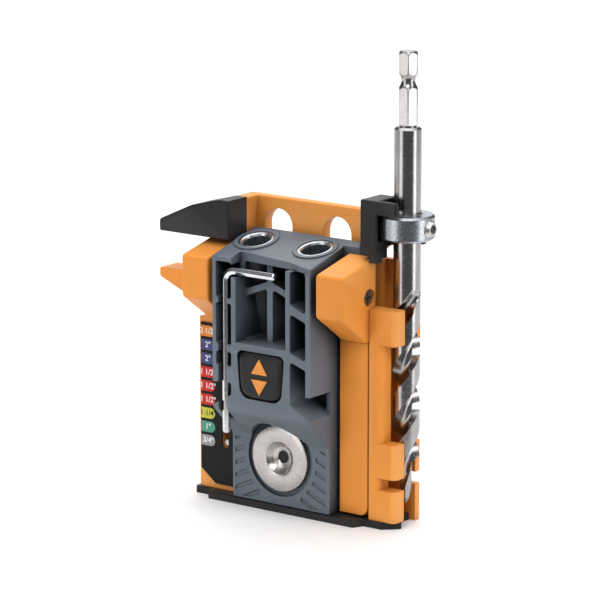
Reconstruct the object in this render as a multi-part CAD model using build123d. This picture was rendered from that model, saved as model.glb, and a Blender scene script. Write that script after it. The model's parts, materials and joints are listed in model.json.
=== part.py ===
from build123d import *
import os
from math import cos, radians, sin, tan

# Pocket-hole drilling jig, in millimetres.
# X points right, Y points back and Z points up.  The origin is on the underside of the base,
# on the middle plane of the guide block, level with the front of the block's lower plate.

# Frame
BASE_T = 2.5
BACK_FACE_Y = 22.5
BACK_PANEL_Y = 20.5
SKIRT_Y = 20.0
BASE_BACK_Y = 19.9
COLUMN_INNER_X = 22.3
RIGHT_COLUMN_X = 30.7
LEFT_COLUMN_X = 39.8
COLUMN_FRONT_Y = 8.4
COLUMN_TOP_Z = 91.4
LABEL_COLUMN_TOP_Z = 64.5
LABEL_FRONT_Y = 4.4
LABEL_T = 0.6
WALL_FRONT_Y = 4.4
WALL_ROUND_R = 2.0
CLIP_X = 45.8
CLIP_LIP_X = 43.5
GAP = 0.3
SLOT_X = (-29.1, -26.1)
SLOT_Z = (18.0, 61.2)
DRILL_SLOT_W = 11.0
DRILL_SLOT_Z = (4.0, 85.0)
BASE_SCREW_XY = ((27.5, 16.0), (-27.5, 16.0), (-36.0, 10.0), (34.0, 15.0))
STRIP_SCREW_Y = 12.0

# Hoods
HOOD_X = (23.2, 34.7)
HOOD_FRONT_Y = -10.9
HOOD_BACK_Y = 8.2
HOOD_FACE_Z = (75.0, 89.8)
HOOD_TOP_BACK_Z = 94.2
HOOD_CHIN = (3.7, 64.7)
HOOD_WALL = 2.0
HOOD_SCREWS = {"right": (1, 80.6), "left": (-1, 85.0)}
JAW_TIP_X = -52.4
JAW_Y = (-1.2, 8.2)

# Guide block
BLOCK_X = 21.1
PLATE_Y = 0.0
BLOCK_FRONT_Y = -11.2
BLOCK_BACK_Y = 15.8
BLOCK_BOTTOM_Z = 2.8
BLOCK_TOP_FRONT_Z = 91.2
BLOCK_TOP_BACK_Y = 12.9
SLOPE_Z = (26.2, 37.3)
DRILL_ANGLE = 15
BORE_X = 12.7
BUSHING_Y = 3.4
BUSHING_R = 6.35
BUSHING_LENGTH = 24.0
BOSS_R = 8.3
WALL_X = 10.8
COLUMN_X = 12.7
SIDE_X = 19.3
POCKET_DEPTH_Y = 4.0
WEB_Y = -5.7
LINTEL_Y = -8.2
POCKET_Z = (61.7, 89.6)
FLOOR_Z = (42.8, 38.1)
WINDOW_TOP_Z = 46.5
FLANGE_Y = (8.6, 12.6)
DISC_Z = 19.7
DISC_R = 12.0
DISC_POCKET_R = 13.8
POCKET_ROUND_R = 0.9
POINTER_R = 1.1
POINTER_START = (sum(SLOT_X) / 2, 5.6, DISC_Z)

# Lock
BUTTON_Z = (42.7, 59.0)
BUTTON_FRONT_Y = -11.8
BUTTON_T = 3.2
BUTTON_TRAVEL = 2.5
YOKE_X = 5.2
YOKE_Z = (47.5, 54.5)
SPRING_Z = 45.0
SPRING_SEAT_Y = -2.2
STRIP_X = 3.0
STRIP_Y = (6.5, 8.5)
STRIP_TOP_Z = 93.0

# Jaw carriage
JAW_PLATE_Y = (16.1, 20.2)
JAW_PLATE_TOP_Z = 108.3
JAW_HEAD_Z = 94.9
JAW_BLOCK_X = (-27.0, -21.6)
JAW_SCREW_Z = (98.6, 104.6)
UPPER_JAW_Y = (-1.2, 9.4)
UPPER_JAW_Z = 94.6
FORK_X = 31.0
FORK_TOP_Z = 114.5

# Drill bit and collar
BIT_X = 43.0
BIT_Y = 15.0
BIT_R = 9.525 / 2
PILOT_R = 2.0
BIT_Z = (7.4, 9.4, 22.0, 139.2, 165.0)
HEX_AF = 6.35
HEX_TURN = 36.8
COLLAR_R = 19.05 / 2
COLLAR_Z = (100.6, 109.2)

# Hex key
KEY_AF = 2.5
KEY_X = (-16.5, 5.0)
KEY_Y = -9.0
KEY_Z = (28.3, 86.4)
KEY_BEND_R = 4.0
KEY_ROOM = 1.9

LOW = (Align.MIN, Align.MIN, Align.MIN)
STAND = (Align.CENTER, Align.CENTER, Align.MIN)


def block(x0, x1, y0, y1, z0, z1):
    """A rectangular solid between two corners."""
    return Pos(x0, y0, z0) * Box(x1 - x0, y1 - y0, z1 - z0, align=LOW)


def soft_block(x0, x1, y0, y1, z0, z1, radius=0.6):
    """A rectangular solid with all its edges rounded."""
    return fillet(block(x0, x1, y0, y1, z0, z1).edges(), radius)


def outline(points, rounds=()):
    """A closed flat outline, with an arc of the given radius at each (corner, radius)."""
    face = make_face(Polyline(*points, close=True))
    for corner, radius in rounds:
        nearest = face.vertices().sort_by_distance((*corner, 0))[0]
        face = fillet(nearest, radius)
    return face


def along_x(points, x0, x1, rounds=()):
    """An outline of (y, z) points carried from x0 to x1."""
    plane = Plane(origin=(x0, 0, 0), x_dir=(0, 1, 0), z_dir=(1, 0, 0))
    return extrude(plane * outline(points, rounds), amount=x1 - x0, dir=(1, 0, 0))


def along_y(points, y0, y1, rounds=()):
    """An outline of (x, z) points carried from y0 back to y1."""
    plane = Plane(origin=(0, y0, 0), x_dir=(1, 0, 0), z_dir=(0, -1, 0))
    return extrude(plane * outline(points, rounds), amount=y1 - y0, dir=(0, 1, 0))


def along_z(points, z0, z1, rounds=()):
    """An outline of (x, y) points carried up from z0 to z1."""
    return extrude(Plane.XY.offset(z0) * outline(points, rounds), amount=z1 - z0, dir=(0, 0, 1))


def rod(start, direction, radius, length):
    """A round solid that starts at a point and runs along a direction."""
    return Plane(origin=start, z_dir=direction) * Cylinder(radius, length, align=STAND)


def countersunk_screw(head, direction, head_r, shank_r, length, clearance=0.0):
    """A screw whose flat head is at a point; with a clearance it is the hole for that screw."""
    sink = head_r - shank_r
    solid = Cylinder(shank_r + clearance, length + clearance, align=STAND)
    solid += Cone(head_r + clearance, shank_r + clearance, sink, align=STAND)
    if clearance:
        solid += Pos(0, 0, -1) * Cylinder(head_r + clearance, 1, align=STAND)
    else:
        slot_length = head_r * 1.3
        slot_w = head_r * 0.26
        solid -= Box(slot_length, slot_w, sink * 1.4) + Box(slot_w, slot_length, sink * 1.4)
    return Plane(origin=head, z_dir=direction) * solid


def mirrored(solid):
    """The same solid on the other side of the middle plane."""
    return mirror(solid, about=Plane.YZ)


def block_top_z(y):
    """The height of the guide block's sloping top at a depth y."""
    return BLOCK_TOP_FRONT_Z + (y - BLOCK_FRONT_Y) * tan(radians(DRILL_ANGLE))


def drill_rod(side, radius, above, length):
    """A rod on a drilling axis, from a distance above the block's top and down the bore."""
    down = Vector(0, sin(radians(DRILL_ANGLE)), -cos(radians(DRILL_ANGLE)))
    start = Vector(side * BORE_X, BUSHING_Y, block_top_z(BUSHING_Y)) - down * above
    return rod(start, down, radius, length + above)


# ---------------------------------------------------------------- frame


def base_screw(x, y, clearance=0.0):
    return countersunk_screw((x, y, 0), (0, 0, 1), 2.8, 1.4, 6.0, clearance)


def strip_screw(clearance=0.0):
    return countersunk_screw((0, STRIP_SCREW_Y, 0), (0, 0, 1), 2.4, 1.2, 4.4, clearance)


def base_plate():
    side_y = 3.4
    step = 1.9
    right_x = 46.1
    corner = 5.1
    lip_y = -0.5
    points = [
        (-31.6, lip_y), (31.6, lip_y), (31.6 + step, side_y), (right_x - corner, side_y),
        (right_x, side_y + corner), (right_x - corner, side_y + 2 * corner), (right_x - corner, BASE_BACK_Y),
        (-40.8, BASE_BACK_Y), (-40.8, side_y), (-31.6 - step, side_y),
    ]
    plate = along_z(points, 0, BASE_T, rounds=[((-40.8, side_y), 1.5), ((right_x, side_y + corner), 1.0)])
    plate = fillet(plate.faces().sort_by(Axis.Z)[-1].edges(), 0.4)
    for x, y in BASE_SCREW_XY:
        plate -= base_screw(x, y, 0.1)
    return plate - strip_screw(0.1)


def slotted(x, width, z0, z1, y0, y1):
    """A tall round-ended cutter through a wall."""
    r = width / 2
    points = [(x - r, z0), (x + r, z0), (x + r, z1), (x - r, z1)]
    rounds = [(point, r - 0.01) for point in points]
    return along_y(points, y0, y1, rounds)


def clip_wall(x_end, z0, z1):
    """One height of the front wall beside the drill bit, with its rounded outer corner."""
    x0 = HOOD_X[1] + 0.2
    back_y = BIT_Y - 5.0
    corner = (x_end, WALL_FRONT_Y)
    front = along_z([(x0, WALL_FRONT_Y), corner, (x_end, back_y), (x0, back_y)], z0, z1,
                    rounds=[(corner, WALL_ROUND_R)])
    return front + block(RIGHT_COLUMN_X, x0, COLUMN_FRONT_Y, back_y, z0, z1)


def bit_holder():
    """The clips that hold the drill bit between a front and a back wall."""
    notch_x = 39.2
    recess_x = 40.2
    front_clips = ((CLIP_X, BASE_T, 13.5), (notch_x, 13.5, 17.8), (CLIP_X, 17.8, 30.0),
                   (recess_x, 30.0, 64.7), (CLIP_X, 64.7, 76.9))
    holder = None
    for x_end, z0, z1 in front_clips:
        wall = clip_wall(x_end, z0, z1)
        holder = wall if holder is None else holder + wall
    back_y = BIT_Y + 5.0
    holder += block(RIGHT_COLUMN_X, 36.0, back_y, BACK_FACE_Y, BASE_T, COLUMN_TOP_Z)
    for z0, z1 in ((0, 13.3), (17.5, 28.7), (64.5, 70.1), (72.2, 77.1)):
        holder += block(36.0, CLIP_LIP_X, back_y, BACK_FACE_Y, z0, z1)
    boss_top = 7.1
    return holder + block(RIGHT_COLUMN_X, BIT_X - 5.0, BIT_Y - 5.0, back_y, BASE_T, boss_top)


def hood_boss():
    """The block inside the right hood that its side screw bites into."""
    return block(HOOD_X[0] + HOOD_WALL + 0.3, HOOD_X[1] - HOOD_WALL - 0.3, 0.5, COLUMN_FRONT_Y, 76.6, 84.8)


def hood_screw(side, clearance=0.0):
    sign, z = HOOD_SCREWS[side]
    return countersunk_screw((sign * (HOOD_X[1] - 0.8), 4.7, z), (-sign, 0, 0), 3.0, 1.5, 8.0, clearance)


def main_frame():
    left_front = LABEL_FRONT_Y + LABEL_T
    frame = block(-LEFT_COLUMN_X, -COLUMN_INNER_X, left_front, BACK_FACE_Y, BASE_T, LABEL_COLUMN_TOP_Z)
    frame = fillet(frame.faces().sort_by(Axis.X)[0].edges().filter_by_position(Axis.Z, 10, 100), 0.9)
    frame += block(-LEFT_COLUMN_X, 36.0, SKIRT_Y, BACK_FACE_Y, 0, BASE_T)
    frame += block(-34.4, -COLUMN_INNER_X, COLUMN_FRONT_Y, BACK_FACE_Y, LABEL_COLUMN_TOP_Z, COLUMN_TOP_Z)
    frame += block(COLUMN_INNER_X, RIGHT_COLUMN_X, COLUMN_FRONT_Y, BACK_FACE_Y, BASE_T, COLUMN_TOP_Z)
    frame += block(-COLUMN_INNER_X, COLUMN_INNER_X, BACK_PANEL_Y, BACK_FACE_Y, BASE_T, 88.0)
    frame += block(-COLUMN_INNER_X, COLUMN_INNER_X, BLOCK_BACK_Y + GAP, BACK_PANEL_Y, BASE_T, 5.5)
    frame += bit_holder()
    frame += hood_boss() + Pos(0, 0, 3.0) * mirrored(hood_boss())
    # Grooves for the guide block's flanges and for the jaw plate's edges
    groove_y = (FLANGE_Y[0] - GAP, FLANGE_Y[1] + GAP)
    top = COLUMN_TOP_Z + 1
    frame -= block(COLUMN_INNER_X - 1, 29.3, *groove_y, BASE_T, top)
    frame -= block(-29.9, 1 - COLUMN_INNER_X, *groove_y, BASE_T, top)
    frame -= block(-24.3, 24.3, BLOCK_BACK_Y + 0.1, BACK_PANEL_Y, 5.5, top)
    # Slots that let the drill pass, and the slot that shows the pointer
    for side in (-1, 1):
        frame -= slotted(side * BORE_X, DRILL_SLOT_W, *DRILL_SLOT_Z, BACK_PANEL_Y - 1, BACK_FACE_Y + 1)
    frame -= slotted(sum(SLOT_X) / 2, SLOT_X[1] - SLOT_X[0], *SLOT_Z, 0, groove_y[0] + 0.5)
    for x, y in BASE_SCREW_XY:
        frame -= base_screw(x, y, 0.1)
    for side in HOOD_SCREWS:
        frame -= hood_screw(side, 0.1)
    return frame


def hood():
    """The right hood: a faceted shell, open at the back."""
    points = [
        (HOOD_FRONT_Y, HOOD_FACE_Z[0]), (HOOD_FRONT_Y, HOOD_FACE_Z[1]), (HOOD_BACK_Y, HOOD_TOP_BACK_Z),
        (HOOD_BACK_Y, HOOD_CHIN[1]), HOOD_CHIN,
    ]
    shell = along_x(points, *HOOD_X, rounds=[(points[0], 2.0), (points[1], 1.5)])
    cheeks = shell.faces().sort_by(Axis.X)
    rims = cheeks[0].edges() + cheeks[-1].edges()
    shell = fillet(rims.filter_by_position(Axis.Y, -30, HOOD_BACK_Y - 0.1), 0.9)
    inner = block(HOOD_X[0] + HOOD_WALL, HOOD_X[1] - HOOD_WALL, HOOD_FRONT_Y + HOOD_WALL, HOOD_BACK_Y + 1,
                  HOOD_FACE_Z[0] + 1.2, HOOD_FACE_Z[1] + 0.4 - HOOD_WALL)
    return shell - inner


def right_hood():
    cover_x = 34.2
    points = [(COLUMN_INNER_X, 3.2), (cover_x, 3.2), (cover_x, HOOD_CHIN[1]), (COLUMN_INNER_X, HOOD_CHIN[1])]
    cover = along_y(points, WALL_FRONT_Y, HOOD_BACK_Y, rounds=[((cover_x, 3.2), 3.0)])
    cover = fillet(cover.faces().sort_by(Axis.Y)[0].edges(), 0.5)
    cover += block(COLUMN_INNER_X, 33.0, WALL_FRONT_Y, HOOD_BACK_Y, HOOD_CHIN[1], HOOD_FACE_Z[0])
    return cover + hood() - hood_screw("right", 0.1)


def left_hood():
    body = mirrored(hood())
    cheek = -HOOD_X[1] + 0.5
    points = [(cheek, 70.4), (JAW_TIP_X, 78.2), (JAW_TIP_X, 81.6), (cheek, 81.6)]
    jaw = along_y(points, *JAW_Y, rounds=[(points[1], 0.9), (points[2], 0.9)])
    body += fillet(jaw.faces().sort_by(Axis.Y)[0].edges(), 0.5)
    return body - hood_screw("left", 0.1)


def label_plate():
    left, right = -38.5, -22.5
    bottom, top = 4.4, 62.5
    points = [(left, 9.4), (-32.1, bottom), (right, bottom), (right, top), (left, top)]
    plate = along_y(points, LABEL_FRONT_Y, LABEL_FRONT_Y + LABEL_T)
    return plate - slotted(sum(SLOT_X) / 2, SLOT_X[1] - SLOT_X[0], *SLOT_Z, 0, 6)


def lock_strip():
    strip = block(-STRIP_X, STRIP_X, *STRIP_Y, BASE_T, STRIP_TOP_Z)
    strip += block(-STRIP_X, STRIP_X, STRIP_Y[0], 15.0, BASE_T, BASE_T + 2.0)
    return strip - strip_screw(0.1)


# ---------------------------------------------------------------- guide carriage


def pocket(points):
    """A pocket open to the front, with rounded inner corners."""
    rounds = [(point, POCKET_ROUND_R) for point in points]
    return along_y(points, BLOCK_FRONT_Y - 1, POCKET_DEPTH_Y, rounds)


def floor_z(x):
    """The height of the sloping floor of the outer pockets at a distance from the middle."""
    return FLOOR_Z[0] + (FLOOR_Z[1] - FLOOR_Z[0]) * (abs(x) - COLUMN_X) / (BLOCK_X - COLUMN_X)


def side_pockets():
    """The three pockets of the right column, parted by sloping ribs, and the side window."""
    x0, x1 = COLUMN_X, SIDE_X
    top = POCKET_Z[1]
    cut = side_window()
    cut += pocket([(x0, 78.1), (x1, 75.3), (x1, top), (x0, top)])
    cut += pocket([(x0, 61.2), (x1, 58.8), (x1, 72.4), (x0, 74.9)])
    return cut + pocket([(x0, floor_z(x0)), (x1, floor_z(x1)), (x1, 55.8), (x0, 58.1)])


def side_window():
    """The opening under the side wall, where drill chips fall out."""
    floor_out = FLOOR_Z[1] - 0.6
    floor_in = FLOOR_Z[0] - 1.0
    inner = COLUMN_X + 1.8
    points = [(inner, floor_in), (BLOCK_X + 1, floor_out), (BLOCK_X + 1, WINDOW_TOP_Z), (inner, WINDOW_TOP_Z)]
    return along_y(points, BLOCK_FRONT_Y - 1, 1.1)


def key_pockets():
    """The left column's pockets, parted by the ribs that grip the hex key."""
    x0, x1 = -SIDE_X, -COLUMN_X
    cut = mirrored(side_window())
    for z0, z1 in ((76.7, POCKET_Z[1]), (60.3, 75.0), (52.7, 57.8)):
        cut += pocket([(x0, z0), (x1, z0), (x1, z1), (x0, z1)])
    cut += pocket([(x0, floor_z(x0)), (x1, floor_z(x1)), (x1, 46.9), (x0, 46.9)])
    shaft = (KEY_X[0] - KEY_ROOM, KEY_X[0] + KEY_ROOM)
    return cut + block(*shaft, BLOCK_FRONT_Y - 1, KEY_Y + KEY_ROOM, 20.0, KEY_Z[1] + KEY_ROOM)


def centre_pockets():
    """The set-back middle bay, with its upright rib and two sloping braces."""
    bay = block(-WALL_X, WALL_X, BLOCK_FRONT_Y - 1, WEB_Y, *POCKET_Z)
    bay += block(-COLUMN_X, -WALL_X, BLOCK_FRONT_Y - 1, WEB_Y, KEY_Z[1] - KEY_ROOM, 100.0)
    bay += along_z([(-WALL_X, BLOCK_FRONT_Y - 1), (BLOCK_X, BLOCK_FRONT_Y - 1), (BLOCK_X, BLOCK_FRONT_Y),
                    (WALL_X, LINTEL_Y), (-WALL_X, WEB_Y)], POCKET_Z[1], 100.0)
    rib = 1.2
    brace_low, brace_high = 77.2, 79.6
    rise = 0.39 * (WALL_X - rib)
    low, top = POCKET_Z
    for side in (-1, 1):
        wall_x, rib_x = side * WALL_X, side * rib
        bay += pocket([(wall_x, low), (rib_x, low), (rib_x, brace_low + rise), (wall_x, brace_low)])
        bay += pocket([(wall_x, brace_high), (rib_x, brace_high + rise), (rib_x, top), (wall_x, top)])
    return bay


def button_outline(grow=0.0):
    """The button's rounded tapering outline as (x, z) points with corner radii."""
    top_x = 10.0 + grow
    low_x = 8.6 + grow
    z0, z1 = BUTTON_Z[0] - grow, BUTTON_Z[1] + grow
    points = [(-low_x, z0), (low_x, z0), (top_x, z1), (-top_x, z1)]
    return points, [(points[0], 4.2), (points[1], 4.2), (points[2], 2.2), (points[3], 2.2)]


def grip_lines():
    """Shallow sloping recesses in the lower plate, on both sides of the disc."""
    rise, height, depth = 0.45, 1.55, 0.35
    outer_x, inner_x = 19.6, 9.0
    lift = rise * (outer_x - inner_x)
    cuts = None
    for side in (-1, 1):
        for row in range(6):
            z = 23.5 - 4.55 * row
            points = [(side * outer_x, z), (side * inner_x, z + lift), (side * inner_x, z + lift + height),
                      (side * outer_x, z + height)]
            stroke = along_y(points, PLATE_Y - 1, PLATE_Y + depth)
            cuts = stroke if cuts is None else cuts + stroke
    cuts -= rod((0, PLATE_Y - 2, DISC_Z), (0, 1, 0), DISC_POCKET_R + 1.8, 4)
    return cuts & block(-BLOCK_X, BLOCK_X, PLATE_Y - 2, PLATE_Y + 2, 3.6, 24.8)


def yoke_channel():
    """The space in the block for the lock's yoke, its springs and the strip it grips."""
    clear = 0.3
    cut = block(-YOKE_X - clear, YOKE_X + clear, BLOCK_FRONT_Y, BLOCK_BACK_Y + 1,
                YOKE_Z[0] - clear, YOKE_Z[1] + clear)
    cut += block(-STRIP_X - 0.4, STRIP_X + 0.4, STRIP_Y[0] - 0.4, STRIP_Y[1] + 0.4, 0, STRIP_TOP_Z + 0.5)
    cut += block(-STRIP_X - 0.4, STRIP_X + 0.4, STRIP_Y[0] - 0.4, BLOCK_BACK_Y + 1, 0, 5.2)
    points, rounds = button_outline(0.3)
    cut += along_y(points, BLOCK_FRONT_Y - 1, BUTTON_FRONT_Y + BUTTON_T + BUTTON_TRAVEL + 0.2, rounds)
    return cut + rod((0, BLOCK_FRONT_Y, SPRING_Z), (0, 1, 0), 2.2, SPRING_SEAT_Y - BLOCK_FRONT_Y)


def disc_screw(clearance=0.0):
    return countersunk_screw((0, 1.2, DISC_Z), (0, 1, 0), 3.9, 1.9, 4.4, clearance)


def guide_block():
    side = [
        (PLATE_Y, BLOCK_BOTTOM_Z), (PLATE_Y, SLOPE_Z[0]), (BLOCK_FRONT_Y, SLOPE_Z[1]),
        (BLOCK_FRONT_Y, BLOCK_TOP_FRONT_Z), (BLOCK_TOP_BACK_Y, block_top_z(BLOCK_TOP_BACK_Y)),
        (BLOCK_BACK_Y, block_top_z(BLOCK_TOP_BACK_Y) - 3.0), (BLOCK_BACK_Y, BLOCK_BOTTOM_Z),
    ]
    envelope = along_x(side, -BLOCK_X, BLOCK_X, rounds=[(side[1], 3.0), (side[2], 3.0)])
    cheeks = envelope.faces().sort_by(Axis.X)
    rims = cheeks[0].edges() + cheeks[-1].edges()
    envelope = fillet(rims.filter_by_position(Axis.Y, -30, 5), 0.6)
    body = envelope - side_pockets() - key_pockets() - centre_pockets()
    for sign in (-1, 1):
        body += drill_rod(sign, BOSS_R, 0, 40.0) & envelope
        body += drill_rod(sign, BOSS_R - 0.4, 0.5, 2.0)
    # Slide flanges
    y0, y1 = FLANGE_Y
    body += along_x([(y0, 6), (y1, 6), (y1, block_top_z(y1)), (y0, block_top_z(y0))], BLOCK_X, 29.0)
    body += block(-29.6, -BLOCK_X, y0, y1, 6.0, 79.0)
    # Bores
    for sign in (-1, 1):
        body -= drill_rod(sign, BUSHING_R + 0.02, 3, BUSHING_LENGTH)
        body -= drill_rod(sign, BIT_R + 0.7, 3, 70)
    # Disc pocket, lock and key
    body -= rod((0, -13, DISC_Z), (0, 1, 0), DISC_POCKET_R, 14.2)
    body -= rod((0, 0, DISC_Z), (0, 1, 0), DISC_R + 0.05, 3.0)
    body -= disc_screw(0.1)
    body -= yoke_channel()
    body -= block(KEY_X[0] - KEY_ROOM, KEY_X[1] + 2.0, BLOCK_FRONT_Y - 1, KEY_Y + KEY_ROOM,
                  KEY_Z[1] - KEY_ROOM, KEY_Z[1] + KEY_ROOM)
    body -= rod(POINTER_START, (0, 1, 0), POINTER_R + 0.02, 6.0)
    return body - grip_lines()


def drill_bushing(side):
    sleeve = drill_rod(side, BUSHING_R, 0.8, BUSHING_LENGTH - 0.1)
    sleeve -= drill_rod(side, BIT_R + 0.06, 2, BUSHING_LENGTH + 2)
    return sleeve & block(-40, 40, -20, BLOCK_BACK_Y - 0.05, 0, 120)


def clamp_disc():
    disc = rod((0, -0.4, DISC_Z), (0, 1, 0), DISC_R, 3.4)
    disc -= rod((0, -1, DISC_Z), (0, 1, 0), 5.9, 2.2)
    return disc - disc_screw(0.1)


def scale_pointer():
    return rod(POINTER_START, (0, 1, 0), POINTER_R, 5.9)


# ---------------------------------------------------------------- lock


def lock_button():
    points, rounds = button_outline()
    body = along_y(points, BUTTON_FRONT_Y, BUTTON_FRONT_Y + BUTTON_T, rounds)
    front_edges = body.faces().sort_by(Axis.Y)[0].edges()
    return chamfer(front_edges, 0.9)


def button_icon():
    """Two opposed arrow heads, raised a little from the button."""
    z_mid = sum(BUTTON_Z) / 2
    arrows = None
    for sign in (-1, 1):
        points = [(-3.4, z_mid + sign * 1.0), (3.4, z_mid + sign * 1.0), (0, z_mid + sign * 6.4)]
        arrow = along_y(points, BUTTON_FRONT_Y - 0.25, BUTTON_FRONT_Y)
        arrows = arrow if arrows is None else arrows + arrow
    return arrows


def latch_yoke():
    """The frame behind the button: it passes both sides of the strip and holds the pad."""
    back = STRIP_Y[1] + 2.4
    yoke = block(-YOKE_X, YOKE_X, BUTTON_FRONT_Y + BUTTON_T, back + 1.9, *YOKE_Z)
    return yoke - block(-STRIP_X - 0.5, STRIP_X + 0.5, STRIP_Y[0] - 3.2, back, YOKE_Z[0] - 1, YOKE_Z[1] + 1)


def brake_pad():
    return block(-STRIP_X + 0.2, STRIP_X - 0.2, STRIP_Y[1] + GAP, STRIP_Y[1] + 2.4, 48.6, 53.4)


def button_spring():
    start_y = BUTTON_FRONT_Y + BUTTON_T + 0.3
    length = SPRING_SEAT_Y - 0.3 - start_y
    wire_r = 0.25
    coil_r = 1.6
    path = Helix(pitch=length / 5, height=length, radius=coil_r)
    section = Plane(origin=path @ 0, z_dir=path % 0) * Circle(wire_r)
    coil = sweep(section, path=path)
    return Pos(0, start_y, SPRING_Z) * Rot(-90, 0, 0) * coil


# ---------------------------------------------------------------- jaw carriage


def jaw_screw(z, clearance=0.0):
    return countersunk_screw((-24.3, JAW_PLATE_Y[1], z), (0, -1, 0), 2.4, 1.2, 17.0, clearance)


def fork_screw(clearance=0.0):
    return countersunk_screw((32.3, JAW_PLATE_Y[1], 98.6), (0, -1, 0), 1.6, 0.9, 8.5, clearance)


def collar_room():
    """The round space in which the stop collar sits."""
    return rod((BIT_X, BIT_Y, COLLAR_Z[0] - GAP), (0, 0, 1), COLLAR_R + 0.4,
               COLLAR_Z[1] - COLLAR_Z[0] + 2 * GAP)


def jaw_plate():
    y0, y1 = JAW_PLATE_Y
    plate = block(-24.0, 24.0, y0, y1, 5.8, JAW_HEAD_Z)
    tab_x = 35.4
    bevel = 4.1
    head = [(JAW_BLOCK_X[0], JAW_HEAD_Z), (tab_x - bevel, JAW_HEAD_Z), (tab_x, JAW_HEAD_Z + bevel),
            (tab_x, JAW_PLATE_TOP_Z), (JAW_BLOCK_X[0], JAW_PLATE_TOP_Z)]
    plate += along_y(head, y0, y1)
    plate += block(*JAW_BLOCK_X, UPPER_JAW_Y[1], y0, JAW_HEAD_Z, JAW_PLATE_TOP_Z)
    plate = fillet(plate.faces().sort_by(Axis.Z)[-1].edges(), 0.6)
    for side in (-1, 1):
        plate -= slotted(side * BORE_X, 12.0, 12.0, 104.4, y0 - 1, y1 + 1)
    for z in JAW_SCREW_Z:
        plate -= jaw_screw(z, 0.1)
    return plate - collar_room() - fork_screw(0.1)


def upper_jaw():
    right = JAW_BLOCK_X[1]
    top = JAW_PLATE_TOP_Z + 0.2
    points = [(JAW_TIP_X, UPPER_JAW_Z), (right, UPPER_JAW_Z), (right, top), (-26.1, top), (-38.3, 105.3),
              (JAW_TIP_X, 98.8)]
    body = along_y(points, *UPPER_JAW_Y, rounds=[(points[0], 0.8), (points[5], 1.2), (points[4], 12.0)])
    body = fillet(body.faces().sort_by(Axis.Y)[0].edges(), 0.6)
    for z in JAW_SCREW_Z:
        body -= jaw_screw(z, 0.1)
    return body


def collar_fork():
    neck_x = BIT_X - 5.0
    arm_x = BIT_X + 3.0
    cheek_x = HOOD_X[1] + GAP
    front_y, waist_y, back_y = 4.0, 10.3, JAW_PLATE_Y[0] - 0.05
    low_z, ledge_z = 95.6, 97.8
    collar_low, collar_high = COLLAR_Z[0] - GAP, COLLAR_Z[1] + GAP
    fork = soft_block(FORK_X, neck_x, front_y, back_y, ledge_z, FORK_TOP_Z)
    fork += block(FORK_X, neck_x, front_y, waist_y, low_z, ledge_z + 1)
    fork += block(FORK_X, 33.5, waist_y, back_y, low_z, ledge_z + 1)
    # Foot beside the hood
    fork += block(cheek_x, neck_x, front_y, waist_y, 94.2, low_z)
    fork += block(cheek_x, neck_x, front_y, 7.2, 92.9, low_z)
    # Front bar over the collar and back arm under it
    fork += soft_block(neck_x - 2, arm_x, front_y, front_y + 2.1, collar_high, FORK_TOP_Z, 0.8)
    fork += block(35.6, neck_x, back_y - 1, BACK_FACE_Y, ledge_z, collar_low)
    fork += soft_block(neck_x - 2, arm_x, BIT_Y + 5.0, BACK_FACE_Y, ledge_z, collar_low)
    fork -= rod((BIT_X, BIT_Y, 80), (0, 0, 1), 5.0, 50)
    fork -= collar_room()
    fork -= block(neck_x - 2.2, neck_x + 1, front_y + 0.8, BIT_Y, collar_low, collar_high)
    return fork - fork_screw(0.1)


# ---------------------------------------------------------------- stored tools


def step_drill_bit():
    tip, cone_top, shoulder, shank_top, top = BIT_Z
    bit = Pos(0, 0, tip) * Cone(0.3, PILOT_R, cone_top - tip, align=STAND)
    bit += Pos(0, 0, cone_top) * Cylinder(PILOT_R, shoulder - cone_top, align=STAND)
    bit += Pos(0, 0, shoulder) * Cone(PILOT_R, BIT_R, 2.4, align=STAND)
    bit += Pos(0, 0, shoulder + 2.4) * Cylinder(BIT_R, shank_top - shoulder - 2.4, align=STAND)
    hexagon = Plane.XY.offset(shank_top) * RegularPolygon(HEX_AF / 2, 6, major_radius=False, rotation=HEX_TURN)
    shank = extrude(hexagon, amount=top - shank_top)
    groove_mid = 154.8
    shank -= Pos(0, 0, groove_mid) * (Cylinder(6, 4.4) - Cylinder(2.6, 4.4))
    return Pos(BIT_X, BIT_Y, 0) * (bit + shank)


def collar_screw_axis():
    return (BIT_X, BIT_Y, sum(COLLAR_Z) / 2)


def stop_collar():
    ring = rod((BIT_X, BIT_Y, COLLAR_Z[0]), (0, 0, 1), COLLAR_R, COLLAR_Z[1] - COLLAR_Z[0])
    ring -= rod((BIT_X, BIT_Y, 90), (0, 0, 1), BIT_R + 0.05, 30)
    return ring - rod(collar_screw_axis(), (1, 0, 0), 3.05, 15)


def collar_set_screw():
    x, y, z = collar_screw_axis()
    body = rod((x + BIT_R + 0.15, y, z), (1, 0, 0), 3.0, 5.8)
    bottom = Plane(origin=(x + BIT_R + 3.2, y, z), z_dir=(1, 0, 0))
    socket = extrude(bottom * RegularPolygon(1.55, 6, major_radius=False), amount=5, dir=(1, 0, 0))
    return body - socket


def hex_key():
    path = FilletPolyline((KEY_X[0], KEY_Y, KEY_Z[0]), (KEY_X[0], KEY_Y, KEY_Z[1]), (KEY_X[1], KEY_Y, KEY_Z[1]),
                          radius=KEY_BEND_R)
    start = Plane(origin=(KEY_X[0], KEY_Y, KEY_Z[0]), z_dir=(0, 0, 1))
    return sweep(start * RegularPolygon(KEY_AF / 2, 6, major_radius=False), path=path)


def gathered(solids):
    """Separate solids kept together in one node."""
    return Compound(children=[piece.solid() for piece in solids])


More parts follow.
